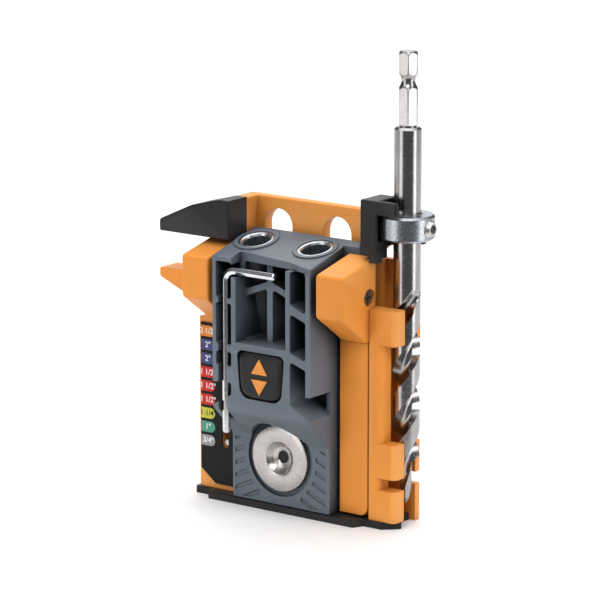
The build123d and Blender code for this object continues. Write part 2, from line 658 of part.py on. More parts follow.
NODES = {
    "main_frame": main_frame(),
    "left_hood": left_hood(),
    "right_hood": right_hood(),
    "base_plate": base_plate(),
    "base_screws": gathered([base_screw(x, y) for x, y in BASE_SCREW_XY]),
    "hood_screws": gathered([hood_screw(side) for side in HOOD_SCREWS]),
    "label_plate": label_plate(),
    "lock_strip": lock_strip(),
    "lock_strip_screw": strip_screw(),
    "guide_block": guide_block(),
    "drill_bushing_left": drill_bushing(-1),
    "drill_bushing_right": drill_bushing(1),
    "clamp_disc": clamp_disc(),
    "disc_screw": disc_screw(),
    "scale_pointer": scale_pointer(),
    "lock_button": lock_button(),
    "button_icon": gathered(button_icon().solids()),
    "latch_yoke": latch_yoke(),
    "brake_pad": brake_pad(),
    "button_spring": button_spring(),
    "jaw_plate": jaw_plate(),
    "upper_jaw": upper_jaw(),
    "jaw_screws": gathered([jaw_screw(z) for z in JAW_SCREW_Z]),
    "collar_fork": collar_fork(),
    "fork_screw": fork_screw(),
    "step_drill_bit": step_drill_bit(),
    "stop_collar": stop_collar(),
    "collar_set_screw": collar_set_screw(),
    "hex_key": hex_key(),
}

os.makedirs("parts", exist_ok=True)
for name, shape in NODES.items():
    export_step(shape, f"parts/{name}.step")
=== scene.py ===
import json
from math import cos, floor, pi, radians, sin, sqrt

import bmesh
import bpy
from mathutils import Matrix, Vector


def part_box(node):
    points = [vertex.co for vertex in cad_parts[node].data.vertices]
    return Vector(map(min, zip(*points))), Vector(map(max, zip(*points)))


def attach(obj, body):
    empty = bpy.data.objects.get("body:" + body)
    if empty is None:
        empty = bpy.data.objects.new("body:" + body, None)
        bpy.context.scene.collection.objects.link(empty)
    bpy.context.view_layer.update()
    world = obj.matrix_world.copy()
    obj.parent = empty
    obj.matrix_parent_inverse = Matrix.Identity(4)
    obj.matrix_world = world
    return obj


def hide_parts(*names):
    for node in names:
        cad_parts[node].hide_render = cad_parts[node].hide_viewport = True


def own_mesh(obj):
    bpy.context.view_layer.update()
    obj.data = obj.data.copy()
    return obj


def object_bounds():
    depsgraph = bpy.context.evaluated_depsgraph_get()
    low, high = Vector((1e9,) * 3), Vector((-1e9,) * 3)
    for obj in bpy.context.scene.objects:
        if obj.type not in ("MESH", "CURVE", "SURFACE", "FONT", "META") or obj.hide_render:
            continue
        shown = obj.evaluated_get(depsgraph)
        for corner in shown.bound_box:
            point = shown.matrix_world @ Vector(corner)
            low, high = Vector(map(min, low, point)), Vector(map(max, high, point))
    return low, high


# Pocket-hole drilling jig.  Lengths are in metres; MM turns millimetres into metres.
MM = 0.001

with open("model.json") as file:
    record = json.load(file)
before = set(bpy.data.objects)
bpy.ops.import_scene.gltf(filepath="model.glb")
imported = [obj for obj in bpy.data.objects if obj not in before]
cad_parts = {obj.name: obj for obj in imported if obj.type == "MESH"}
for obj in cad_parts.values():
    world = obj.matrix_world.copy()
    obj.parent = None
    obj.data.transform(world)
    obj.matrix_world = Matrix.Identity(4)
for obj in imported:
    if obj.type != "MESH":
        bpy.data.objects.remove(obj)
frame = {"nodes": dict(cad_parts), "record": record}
cad_low, cad_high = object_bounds()
NODES = frame["nodes"]
BODY_OF = {node: body for body, group in frame["record"]["behaviour"]["bodies"].items() for node in group}
SLOT_OF = {part["node"]: part["material_slot"] for part in frame["record"]["subparts"]}
MOUNTS = {mount["name"]: mount for mount in frame["record"]["mounts"]}


# ---------------------------------------------------------------- materials

ORANGE = (0.78, 0.280, 0.042)
GRAY = (0.118, 0.141, 0.171)
BLACK = (0.0125, 0.012, 0.0125)
NOISE_SPAN = (0.35, 0.65)
# Pointiness span over which convex edges take the painted edge highlight.
EDGE_HIGHLIGHT_POINTINESS = (0.53, 0.62)
# How far the painted recess shade looks for nearby surfaces.
EDGE_SOFTNESS = 0.35 * MM
RECESS_REACH = 11 * MM


class Shader:
    """A Principled material with the few texture set-ups that the object needs."""

    def __init__(self, name, colour, roughness, metallic=0.0):
        self.material = bpy.data.materials.new(name)
        self.material.use_nodes = True
        self.tree = self.material.node_tree
        self.bsdf = self.tree.nodes["Principled BSDF"]
        self.bsdf.inputs["Base Color"].default_value = (*colour, 1)
        self.bsdf.inputs["Roughness"].default_value = roughness
        self.bsdf.inputs["Metallic"].default_value = metallic
        self.colour = colour
        self.roughness = roughness
        self.place = self.node("ShaderNodeTexCoord").outputs["Object"]
        self.height = None

    def soften_edges(self, radius):
        """Rounds the shading of edges too fine to model."""
        bevel = self.node("ShaderNodeBevel", samples=6)
        bevel.inputs["Radius"].default_value = radius
        self.height = bevel.outputs["Normal"]

    def node(self, kind, **settings):
        """A new texture or maths node with the settings given."""
        made = self.tree.nodes.new(kind)
        for key, value in settings.items():
            setattr(made, key, value)
        return made

    def link(self, source, target):
        self.tree.links.new(source, target)

    def noise(self, scale, detail=3.0, stretch=(1, 1, 1)):
        """A noise value; stretch above 1 packs the pattern closer along that axis."""
        mapping = self.node("ShaderNodeMapping")
        mapping.inputs["Scale"].default_value = stretch
        self.link(self.place, mapping.inputs["Vector"])
        texture = self.node("ShaderNodeTexNoise")
        texture.inputs["Scale"].default_value = scale
        texture.inputs["Detail"].default_value = detail
        self.link(mapping.outputs["Vector"], texture.inputs["Vector"])
        return texture.outputs["Fac"]

    def cells(self, scale):
        """A pattern of cells, each with its own random colour."""
        texture = self.node("ShaderNodeTexVoronoi")
        texture.inputs["Scale"].default_value = scale
        self.link(self.place, texture.inputs["Vector"])
        return texture.outputs["Color"]

    def remap(self, value, low, high, new_low, new_high):
        """Stretches a value from one span to another, and holds it inside the new one."""
        ranged = self.node("ShaderNodeMapRange")
        for key, number in (("From Min", low), ("From Max", high), ("To Min", new_low), ("To Max", new_high)):
            ranged.inputs[key].default_value = number
        self.link(value, ranged.inputs["Value"])
        return ranged.outputs["Result"]

    def vary_colour(self, value, span, light, dark):
        """The base colour swings between a darker and a lighter tone of itself."""
        mix = self.node("ShaderNodeMix", data_type="RGBA")
        mix.inputs["A"].default_value = (*[c * dark for c in self.colour], 1)
        mix.inputs["B"].default_value = (*[min(1, c * light) for c in self.colour], 1)
        self.link(self.remap(value, *span, 0, 1), mix.inputs["Factor"])
        self.link(mix.outputs["Result"], self.bsdf.inputs["Base Color"])

    def paint_edge_highlight(self, tone, amount):
        """Convex edges take a lighter tone: a painted highlight along the edges."""
        pointiness = self.node("ShaderNodeNewGeometry").outputs["Pointiness"]
        mix = self.node("ShaderNodeMix", data_type="RGBA")
        mix.inputs["B"].default_value = (*tone, 1)
        self.link(self.bsdf.inputs["Base Color"].links[0].from_socket, mix.inputs["A"])
        self.link(self.remap(pointiness, *EDGE_HIGHLIGHT_POINTINESS, 0, amount), mix.inputs["Factor"])
        self.link(mix.outputs["Result"], self.bsdf.inputs["Base Color"])

    def shade_recesses(self, reach, low, high, tone):
        """Painted shade: deep recesses take a darker tone, from openness high down to openness low."""
        recess = self.node("ShaderNodeAmbientOcclusion", samples=8)
        recess.inputs["Distance"].default_value = reach
        mix = self.node("ShaderNodeMix", data_type="RGBA", blend_type="MULTIPLY")
        mix.inputs["Factor"].default_value = 1
        self.link(self.bsdf.inputs["Base Color"].links[0].from_socket, mix.inputs["A"])
        self.link(self.remap(recess.outputs["AO"], low, high, tone, 1), mix.inputs["B"])
        self.link(mix.outputs["Result"], self.bsdf.inputs["Base Color"])

    def vary_roughness(self, value, spread):
        """The roughness swings by spread to either side."""
        low, high = self.roughness - spread, self.roughness + spread
        self.link(self.remap(value, 0.3, 0.7, low, high), self.bsdf.inputs["Roughness"])

    def bump(self, value, strength, distance):
        """Adds one more layer of surface relief."""
        layer = self.node("ShaderNodeBump")
        layer.inputs["Strength"].default_value = strength
        layer.inputs["Distance"].default_value = distance
        self.link(value, layer.inputs["Height"])
        if self.height:
            self.link(self.height, layer.inputs["Normal"])
        self.height = layer.outputs["Normal"]
        self.link(self.height, self.bsdf.inputs["Normal"])


def moulded_plastic(name, colour, roughness, edge_highlight, grain=0.35, recess=(0.15, 0.75, 0.6)):
    """Spark-textured moulding: fine grain, faint flow marks, convex edges lightened by a painted highlight
    and recesses darkened by painted shade.
    """
    shader = Shader(name, colour, roughness)
    shader.bsdf.inputs["Specular IOR Level"].default_value = 0.25
    shader.vary_colour(shader.noise(45, 4), NOISE_SPAN, 1.05, 0.95)
    # Painted highlight: convex edges are lightened towards the given tone.
    shader.paint_edge_highlight(edge_highlight, 0.5)
    # Painted shade: the base colour is darkened in recesses and between parts, most strongly on the gray
    # plastic.
    shader.shade_recesses(RECESS_REACH, *recess)
    shader.soften_edges(EDGE_SOFTNESS)
    shader.vary_roughness(shader.noise(900, 3), 0.07)
    shader.bump(shader.noise(2600, 2), grain, 0.05 * MM)
    shader.bump(shader.noise(90, 2), 0.05, 0.1 * MM)
    return shader.material


def turned_metal(name, colour, roughness, stretch, mark):
    """Ground or turned metal, with tool marks that run across the stretched axis."""
    shader = Shader(name, colour, roughness, 1.0)
    marks = shader.noise(900, 4, stretch)
    shader.vary_colour(shader.noise(160, 3), NOISE_SPAN, 1.05, 0.93)
    shader.vary_roughness(marks, 0.08)
    shader.bump(marks, mark, 0.02 * MM)
    return shader.material


def spangled_metal(name, colour, roughness, scale):
    """Plated metal with a fine crystal spangle."""
    shader = Shader(name, colour, roughness, 1.0)
    crystal = shader.node("ShaderNodeSeparateColor")
    shader.link(shader.cells(scale), crystal.inputs["Color"])
    shader.vary_colour(crystal.outputs["Red"], (0.0, 1.0), 1.25, 0.75)
    shader.link(shader.remap(crystal.outputs["Green"], 0, 1, roughness - 0.05, roughness + 0.1),
                shader.bsdf.inputs["Roughness"])
    shader.bump(crystal.outputs["Blue"], 0.16, 0.02 * MM)
    return shader.material


def print_ink(name, colour, roughness=0.38):
    """Ink printed on the label: even, with a slight mottle."""
    shader = Shader(name, colour, roughness)
    shader.bsdf.inputs["Specular IOR Level"].default_value = 0.12
    shader.vary_colour(shader.noise(700, 3), NOISE_SPAN, 1.06, 0.93)
    shader.vary_roughness(shader.noise(1500, 2), 0.05)
    shader.bump(shader.noise(2200, 2), 0.08, 0.02 * MM)
    return shader.material


# The third colour of each moulded plastic is the tone of its painted edge highlight.
MATERIALS = {
    "orange_plastic": moulded_plastic("orange_nylon", ORANGE, 0.46, (0.86, 0.40, 0.12)),
    "gray_plastic": moulded_plastic("gray_nylon", GRAY, 0.43, (0.17, 0.20, 0.235), 0.35,
                                    (0.22, 0.78, 0.09)),
    "black_plastic": moulded_plastic("black_nylon", BLACK, 0.44, (0.05, 0.05, 0.052), 0.3),
    "label_black": print_ink("label_film", (0.010, 0.010, 0.011), 0.34),
    "icon_orange": print_ink("icon_ink", (0.80, 0.30, 0.07), 0.42),
    "pointer_white": moulded_plastic("pointer_nylon", (0.72, 0.70, 0.66), 0.4, (0.8, 0.8, 0.78), 0.1),
    "bushing_steel": turned_metal("bushing_steel", (0.50, 0.53, 0.57), 0.3, (1, 1, 3), 0.08),
    "nickel": turned_metal("satin_nickel", (0.47, 0.44, 0.425), 0.27, (1, 1, 1), 0.012),
    "drill_steel": turned_metal("ground_steel", (0.37, 0.36, 0.355), 0.22, (1, 1, 9), 0.03),
    "zinc": spangled_metal("zinc_plate", (0.36, 0.385, 0.42), 0.3, 3600),
    "key_steel": turned_metal("key_nickel", (0.70, 0.71, 0.73), 0.17, (4, 4, 1), 0.12),
    "strip_steel": turned_metal("strip_steel", (0.50, 0.50, 0.52), 0.35, (6, 1, 1), 0.3),
    "screw_steel": turned_metal("screw_steel", (0.62, 0.60, 0.59), 0.36, (2, 2, 2), 0.2),
    "black_screw": turned_metal("dark_steel", (0.36, 0.335, 0.315), 0.33, (2, 2, 2), 0.2),
    "pad_rubber": moulded_plastic("pad_rubber", (0.02, 0.02, 0.02), 0.75, (0.03, 0.03, 0.03), 0.5),
}


# ---------------------------------------------------------------- pieces


def add_piece(name, mesh, node, material=None, replaced=True):
    """Puts a mesh in the scene as a piece that goes with a CAD node's body and slot."""
    mesh.materials.clear()
    mesh.materials.append(material or MATERIALS[SLOT_OF[node]])
    piece = bpy.data.objects.new(name, mesh)
    bpy.context.scene.collection.objects.link(piece)
    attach(piece, BODY_OF[node])
    if replaced:
        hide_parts(node)
    return piece


def smooth(mesh, angle):
    """Smooth shading, with edges sharper than the angle in degrees left sharp."""
    mesh.shade_smooth()
    mesh.set_sharp_from_angle(angle=radians(angle))


def mesh_from(name, bm, angle=32):
    """Turns an edit mesh into a smooth-shaded mesh."""
    bmesh.ops.recalc_face_normals(bm, faces=bm.faces)
    mesh = bpy.data.meshes.new(name)
    bm.to_mesh(mesh)
    bm.free()
    smooth(mesh, angle)
    return mesh


def ring_rows(rows, joined=False):
    """A closed skin through rings of points: its ends are filled, or joined to each other."""
    bm = bmesh.new()
    rings = [[bm.verts.new(point) for point in row] for row in rows]
    pairs = list(zip(rings, rings[1:]))
    if joined:
        pairs.append((rings[-1], rings[0]))
    for lower, upper in pairs:
        count = len(lower)
        for i in range(count):
            j = (i + 1) % count
            bm.faces.new((lower[i], lower[j], upper[j], upper[i]))
    if not joined:
        bm.faces.new(rings[0])
        bm.faces.new(rings[-1])
    return bm


def circle(centre, radius, z, steps):
    """Points round a circle at a height."""
    return [(centre.x + radius * cos(a), centre.y + radius * sin(a), z)
            for a in (2 * pi * i / steps for i in range(steps))]


def turned(profile, steps, joined=True):
    """A body of revolution about Z from (radius, height) points, as an edit mesh."""
    return ring_rows([circle(Vector(), radius, height, steps) for radius, height in profile], joined)


def moved(bm, origin, axis):
    """Turns an edit mesh made about Z so that it stands at a point along an axis."""
    turn = Vector((0, 0, 1)).rotation_difference(Vector(axis)).to_matrix().to_4x4()
    bmesh.ops.transform(bm, matrix=Matrix.Translation(origin) @ turn, verts=bm.verts)
    return bm


def cut(piece, bm, name):
    """Takes an edit mesh's solid out of a piece for good."""
    bmesh.ops.recalc_face_normals(bm, faces=bm.faces)
    tool_mesh = bpy.data.meshes.new(name)
    bm.to_mesh(tool_mesh)
    bm.free()
    tool = bpy.data.objects.new(name, tool_mesh)
    bpy.context.scene.collection.objects.link(tool)
    modifier = piece.modifiers.new(name, "BOOLEAN")
    modifier.operation = "DIFFERENCE"
    modifier.solver = "EXACT"
    modifier.object = tool
    bpy.context.view_layer.update()
    graph = bpy.context.evaluated_depsgraph_get()
    result = bpy.data.meshes.new_from_object(piece.evaluated_get(graph))
    piece.modifiers.remove(modifier)
    bpy.data.objects.remove(tool)
    result.materials.clear()
    result.materials.append(piece.data.materials[0])
    piece.data = result
    smooth(result, 28)


# ---------------------------------------------------------------- drill bit and collar

BIT_LOW, BIT_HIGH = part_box("step_drill_bit")
BIT_AXIS = (BIT_LOW + BIT_HIGH) / 2
BIT_R = (BIT_HIGH.y - BIT_LOW.y) / 2
BIT_TIP_Z = BIT_LOW.z
BIT_TOP_Z = BIT_HIGH.z
PILOT_R = 2.0 * MM
POINT_TOP_Z = BIT_TIP_Z + 2.2 * MM
SHOULDER_Z = BIT_TIP_Z + 14.6 * MM
STEP_TOP_Z = SHOULDER_Z + 2.4 * MM
FLUTE_END_Z = BIT_TIP_Z + 76.0 * MM
FLUTE_FADE = 9 * MM
TWIST_PITCH = 38.5 * MM
# The radius of the cutter that grinds a flute, its distance from the axis, and how far it lifts out
# at the flute's end, as shares of the bit's radius there.
CUTTER_SHARE = 0.66
CUTTER_PLACE = 0.86
CUTTER_LIFT = 0.85
# Behind its cutting margin each land stands a little lower: where it starts, the angles that it
# spans in radians, and its share of the radius.
LAND_SHIFT = 0.72
LAND_SPAN = (0.16, 1.3)
LAND_SHARE = 0.975
UNCUT_SHARE = 0.97
SHANK_TOP_Z = BIT_TOP_Z - 25.8 * MM
SHANK_CHAMFER = 0.8 * MM
NECK_R = 2.9 * MM
HEX_FLAT_R = 3.175 * MM
HEX_CORNER_R = 3.7 * MM
HEX_END_R = 2.75 * MM
HEX_END_SLOPE = 0.9
HEX_TURN = radians(36.8)
GROOVE_Z = BIT_TOP_Z - 10.2 * MM
GROOVE_REACH = 2.75 * MM
GROOVE_R = 2.4 * MM
GROOVE_CURVE = 5.9 * MM


def blank_radius(z):
    """The bit's outer radius before its flutes are ground."""
    stops = [
        (BIT_TIP_Z, 0.05 * MM), (POINT_TOP_Z, PILOT_R), (SHOULDER_Z, PILOT_R), (STEP_TOP_Z, BIT_R),
        (SHANK_TOP_Z - SHANK_CHAMFER, BIT_R), (SHANK_TOP_Z, BIT_R - SHANK_CHAMFER),
    ]
    for (z0, r0), (z1, r1) in zip(stops, stops[1:]):
        if z <= z1:
            return r0 + (r1 - r0) * (z - z0) / (z1 - z0)
    return BIT_R


def flute_radius(angle, radius, opening):
    """How near the axis the two flutes cut at an angle; opening fades the flutes out."""
    cutter = CUTTER_SHARE * radius
    centre = CUTTER_PLACE * radius + (1 - opening) * CUTTER_LIFT * radius
    turned_by = (angle + pi / 2) % pi - pi / 2
    reach = centre * cos(turned_by)
    inside = cutter ** 2 - (centre * sin(turned_by)) ** 2
    if inside <= 0 or reach <= 0:
        return radius
    return min(radius, reach - sqrt(inside))


def bit_section(z, steps):
    """The bit's outline at a height, turned with the flutes."""
    radius = blank_radius(z)
    opening = min(1.0, max(0.0, (FLUTE_END_Z - z) / FLUTE_FADE))
    turn = 2 * pi * (min(z, FLUTE_END_Z) - FLUTE_END_Z) / TWIST_PITCH
    points = []
    for i in range(steps):
        angle = 2 * pi * i / steps
        r = flute_radius(angle, radius, opening) if opening > 0 else radius
        land = (angle + LAND_SHIFT) % pi
        if opening > 0 and LAND_SPAN[0] < land < LAND_SPAN[1] and r > UNCUT_SHARE * radius:
            r = radius * LAND_SHARE
        points.append((BIT_AXIS.x + r * cos(angle + turn), BIT_AXIS.y + r * sin(angle + turn), z))
    return points


def hex_section(z, steps):
    """The hex shank's outline at a height, with its detent groove and chamfered top."""
    limit = min(HEX_CORNER_R, HEX_END_R + (BIT_TOP_Z - z) * HEX_END_SLOPE)
    from_groove = abs(z - GROOVE_Z)
    if from_groove < GROOVE_REACH:
        limit = min(limit, GROOVE_R + from_groove ** 2 / GROOVE_CURVE)
    points = []
    for i in range(steps):
        angle = 2 * pi * i / steps
        corner = (angle - HEX_TURN + pi / 6) % (pi / 3) - pi / 6
        r = min(limit, HEX_FLAT_R / cos(corner))
        points.append((BIT_AXIS.x + r * cos(angle), BIT_AXIS.y + r * sin(angle), z))
    return points


def heights(stops, step):
    """Heights from the first stop to the last, through every stop, about a step apart."""
    values = [stops[0]]
    for low, high in zip(stops, stops[1:]):
        count = max(1, round((high - low) / step))
        values += [low + (high - low) * (i + 1) / count for i in range(count)]
    return values


def make_drill_bit():
    """The stepped bit in one skin: point, fluted body, round shank, neck and hex shank."""
    steps = 96
    body_stops = [BIT_TIP_Z, POINT_TOP_Z, SHOULDER_Z, STEP_TOP_Z, FLUTE_END_Z, FLUTE_END_Z + 0.2 * MM]
    rows = [bit_section(z, steps) for z in heights(body_stops, 0.55 * MM)]
    rows += [bit_section(z, steps) for z in (SHANK_TOP_Z - SHANK_CHAMFER, SHANK_TOP_Z)]
    rows += [circle(BIT_AXIS, NECK_R, z, steps) for z in (SHANK_TOP_Z, SHANK_TOP_Z + 0.5 * MM)]
    groove = (GROOVE_Z - GROOVE_REACH, GROOVE_Z + GROOVE_REACH)
    rows += [hex_section(z, steps) for z in (SHANK_TOP_Z + 0.7 * MM, groove[0])]
    rows += [hex_section(z, steps) for z in heights(groove, 0.3 * MM)[1:]]
    rows += [hex_section(z, steps) for z in heights([BIT_TOP_Z - 1.4 * MM, BIT_TOP_Z], 0.35 * MM)]
    mesh = mesh_from("step_drill_bit_shape", ring_rows(rows), 24)
    add_piece("step_drill_bit_ground", mesh, "step_drill_bit")


def make_stop_collar():
    """The collar: a bored ring with broad chamfers and a tapped hole for its screw."""
    low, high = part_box("stop_collar")
    outer = (high.x - low.x) / 2
    tall = high.z - low.z
    bore = BIT_R + 0.05 * MM
    wide = 0.75 * MM
    narrow = 0.5 * MM
    profile = [(bore, narrow), (bore + narrow, 0), (outer - wide, 0), (outer, wide), (outer, tall - wide),
               (outer - wide, tall), (bore + narrow, tall), (bore, tall - narrow)]
    bm = moved(turned(profile, 128), Vector((BIT_AXIS.x, BIT_AXIS.y, low.z)), (0, 0, 1))
    piece = add_piece("stop_collar_turned", mesh_from("stop_collar_shape", bm, 30), "stop_collar")
    hole = bmesh.new()
    screw_low, screw_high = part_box("collar_set_screw")
    screw_r = (screw_high.z - screw_low.z) / 2 + 0.02 * MM
    bmesh.ops.create_cone(hole, cap_ends=True, segments=48, radius1=screw_r, radius2=screw_r, depth=outer)
    moved(hole, Vector((BIT_AXIS.x + outer * 0.9, BIT_AXIS.y, (low.z + high.z) / 2)), (1, 0, 0))
    cut(piece, hole, "screw_hole")


def threaded_profile(radius, depth, low, high, pitch):
    """(radius, height) points of a thread's ridges."""
    points = []
    count = floor((high - low) / pitch)
    for i in range(count):
        z = low + i * pitch
        points += [(radius - depth, z), (radius, z + pitch * 0.4), (radius, z + pitch * 0.6)]
    points.append((radius - depth, low + count * pitch))
    return points


def make_set_screw():
    """The collar's screw: a threaded body with a blunt tip and a hexagon socket."""
    low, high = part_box("collar_set_screw")
    radius = (high.y - low.y) / 2
    length = high.x - low.x
    tip = 0.9 * MM
    pitch = 1.0 * MM
    thread_depth = 0.42 * MM
    socket_r = 1.75 * MM
    socket_depth = 3.0 * MM
    profile = [(radius - tip, 0)]
    profile += threaded_profile(radius, thread_depth, tip, length - 0.5 * MM, pitch)
    profile += [(radius - 0.8 * MM, length)]
    bm = turned(profile, 48, joined=False)
    moved(bm, Vector((low.x, (low.y + high.y) / 2, (low.z + high.z) / 2)), (1, 0, 0))
    mesh = mesh_from("set_screw_thread", bm, 28)
    piece = add_piece("collar_set_screw_thread", mesh, "collar_set_screw")
    hexagon = bmesh.new()
    bmesh.ops.create_cone(hexagon, cap_ends=True, segments=6, radius1=socket_r, radius2=socket_r,
                          depth=2 * socket_depth)
    moved(hexagon, Vector((high.x, (low.y + high.y) / 2, (low.z + high.z) / 2)), (1, 0, 0))
    cut(piece, hexagon, "socket")


# ---------------------------------------------------------------- guide block fittings


def make_bushing(side):
    """A steel bushing with a bevelled mouth and fine rings inside, cut flat where its CAD node ends."""
    mount = MOUNTS[f"bushing_{side}"]
    axis = Vector(mount["axis"])
    node = f"drill_bushing_{side}"
    bore = mount["dims"]["r_mm"] * MM
    wall = 6.35 * MM
    half = mount["dims"]["length_mm"] * MM / 2
    profile = [
        (wall - 0.02 * MM, -half), (wall - 0.02 * MM, half - 0.35 * MM), (wall - 0.15 * MM, half - 0.08 * MM),
        (wall - 0.4 * MM, half), (bore + 0.75 * MM, half), (bore + 0.35 * MM, half - 0.25 * MM),
        (bore, half - 0.9 * MM),
    ]
    rings, pitch, ring_depth = 20, 0.9 * MM, 0.03 * MM
    for i in range(rings):
        z = half - 1.2 * MM - i * pitch
        profile += [(bore, z), (bore + ring_depth, z - pitch * 0.3), (bore + ring_depth, z - pitch * 0.6)]
    profile.append((bore, -half))
    bm = turned(profile, 96)
    moved(bm, Vector(mount["pos_m"]), axis)
    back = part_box(node)[1].y
    geometry = bm.verts[:] + bm.edges[:] + bm.faces[:]
    result = bmesh.ops.bisect_plane(bm, geom=geometry, plane_co=(0, back, 0), plane_no=(0, 1, 0),
                                    clear_outer=True)
    rim = [part for part in result["geom_cut"] if isinstance(part, bmesh.types.BMEdge)]
    bmesh.ops.edgenet_fill(bm, edges=rim)
    add_piece(f"{node}_turned", mesh_from(f"{node}_shape", bm, 28), node)


def make_clamp_disc():
    """The plated disc with its wide countersink."""
    low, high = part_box("clamp_disc")
    centre = Vector(((low.x + high.x) / 2, high.y, (low.z + high.z) / 2))
    outer = (high.x - low.x) / 2
    thick = high.y - low.y
    sink = 5.9 * MM
    hole = 3.95 * MM
    profile = [(outer, 0), (outer, thick - 0.55 * MM), (outer - 0.16 * MM, thick - 0.2 * MM),
               (outer - 0.55 * MM, thick), (sink + 0.3 * MM, thick), (sink, thick - 0.12 * MM),
               (sink - 0.35 * MM, thick - 0.6 * MM), (hole, thick - 1.75 * MM), (hole, 0)]
    bm = moved(turned(profile, 128), centre, (0, -1, 0))
    add_piece("clamp_disc_turned", mesh_from("clamp_disc_shape", bm, 30), "clamp_disc")


# Solid turned pieces stop this far from their axis, so that no face shrinks to a line.
CORE_R = 0.02 * MM
DRIVE_R = 2.2 * MM


def make_disc_screw():
    """The screw in the disc: a smooth dished head with a round drive hole."""
    low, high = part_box("disc_screw")
    centre = Vector(((low.x + high.x) / 2, high.y, (low.z + high.z) / 2))
    length = high.y - low.y
    head = (high.x - low.x) / 2
    shaft = 1.9 * MM
    profile = [(CORE_R, 0), (shaft, 0), (shaft, length - 2 * MM), (head, length - 0.1 * MM),
               (head - 0.1 * MM, length), (2.5 * MM, length - 0.5 * MM), (2.25 * MM, length - 0.75 * MM),
               (DRIVE_R, length - 2.6 * MM), (CORE_R, length - 3.0 * MM)]
    bm = moved(turned(profile, 64, joined=False), centre, (0, -1, 0))
    add_piece("disc_screw_turned", mesh_from("disc_screw_shape", bm, 30), "disc_screw")


def make_hole_shade_plug():
    """A dark disc inside the disc screw's drive hole: painted shade at the hole's bottom."""
    low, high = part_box("disc_screw")
    centre = Vector(((low.x + high.x) / 2, high.y, (low.z + high.z) / 2))
    level = high.y - low.y - 1.1 * MM
    under = level - 0.3 * MM
    profile = [(CORE_R, under), (DRIVE_R, under), (DRIVE_R, level), (CORE_R, level)]
    bm = moved(turned(profile, 48, joined=False), centre, (0, -1, 0))
    # Painted shade: a disc of the dark rubber material sits in the hole so that it reads dark.
    add_piece("disc_screw_hole_shade_plug", mesh_from("hole_shade_plug_shape", bm, 30), "disc_screw",
              MATERIALS["pad_rubber"], replaced=False)


def make_hex_key():
    """The hex key: six flats swept round its bend, with chamfered ends."""
    low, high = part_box("hex_key")
    across = high.y - low.y
    flat_r = across / 2
    x0 = low.x + across * 0.5 / cos(pi / 6)
    z1 = high.z - across * 0.5 / cos(pi / 6)
    y = (low.y + high.y) / 2
    bend = 4.0 * MM
    chamfer = 0.4 * MM
    end_size = 0.72
    path = [(Vector((x0, y, low.z)), 0.0), (Vector((x0, y, z1 - bend)), 0.0)]
    turns = 14
    for i in range(1, turns + 1):
        a = pi / 2 * i / turns
        path.append((Vector((x0 + bend * (1 - cos(a)), y, z1 - bend + bend * sin(a))), a))
    path.append((Vector((high.x, y, z1)), pi / 2))
    corners = [pi / 6 + pi / 3 * k for k in range(6)]
    rows = []

    def section(centre, a, size):
        """The hexagon at a point of the path, turned by a and shrunk to size."""
        side = Vector((cos(a), 0, -sin(a)))
        return [centre + (side * cos(c) + Vector((0, 1, 0)) * sin(c)) * flat_r * size / cos(pi / 6)
                for c in corners]

    for index, (centre, a) in enumerate(path):
        along = Vector((sin(a), 0, cos(a)))
        if index == 0:
            rows.append(section(centre, a, end_size))
            centre = centre + along * chamfer
        if index == len(path) - 1:
            rows.append(section(centre - along * chamfer, a, 1))
            rows.append(section(centre, a, end_size))
        else:
            rows.append(section(centre, a, 1))
    mesh = mesh_from("hex_key_shape", ring_rows(rows), 40)
    piece = add_piece("hex_key_bent", mesh, "hex_key")
    bevel = piece.modifiers.new("corners", "BEVEL")
    bevel.width = 0.16 * MM
    bevel.segments = 2
    bevel.limit_method = "ANGLE"
    bevel.angle_limit = radians(35)
    bevel.harden_normals = True


# ---------------------------------------------------------------- label

LABEL_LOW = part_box("label_plate")[0]
POINTER_LOW, POINTER_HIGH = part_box("scale_pointer")
ROW_PITCH = 4.97 * MM
FIELD_H = 3.9 * MM
FIELD_RIGHT = LABEL_LOW.x + 6.3 * MM
FIELD_LIFT = 0.05 * MM
ARC_STEPS = 16
LETTER_H = 2.9 * MM
WHITE = (0.82, 0.82, 0.80)
FIELDS = [
    ('3/4"', (0.30, 0.30, 0.32), WHITE),
    ('1"', (0.09, 0.30, 0.22), WHITE),
    ('1 1/4"', (0.56, 0.54, 0.07), (0.02, 0.02, 0.02)),
    ('1 1/2"', (0.58, 0.035, 0.03), WHITE),
    ('1 1/2"', (0.58, 0.035, 0.03), WHITE),
    ('1 1/2"', (0.58, 0.035, 0.03), WHITE),
    ('2"', (0.06, 0.075, 0.20), WHITE),
    ('2"', (0.06, 0.075, 0.20), WHITE),
    ('2 1/2"', (0.76, 0.26, 0.05), WHITE),
]


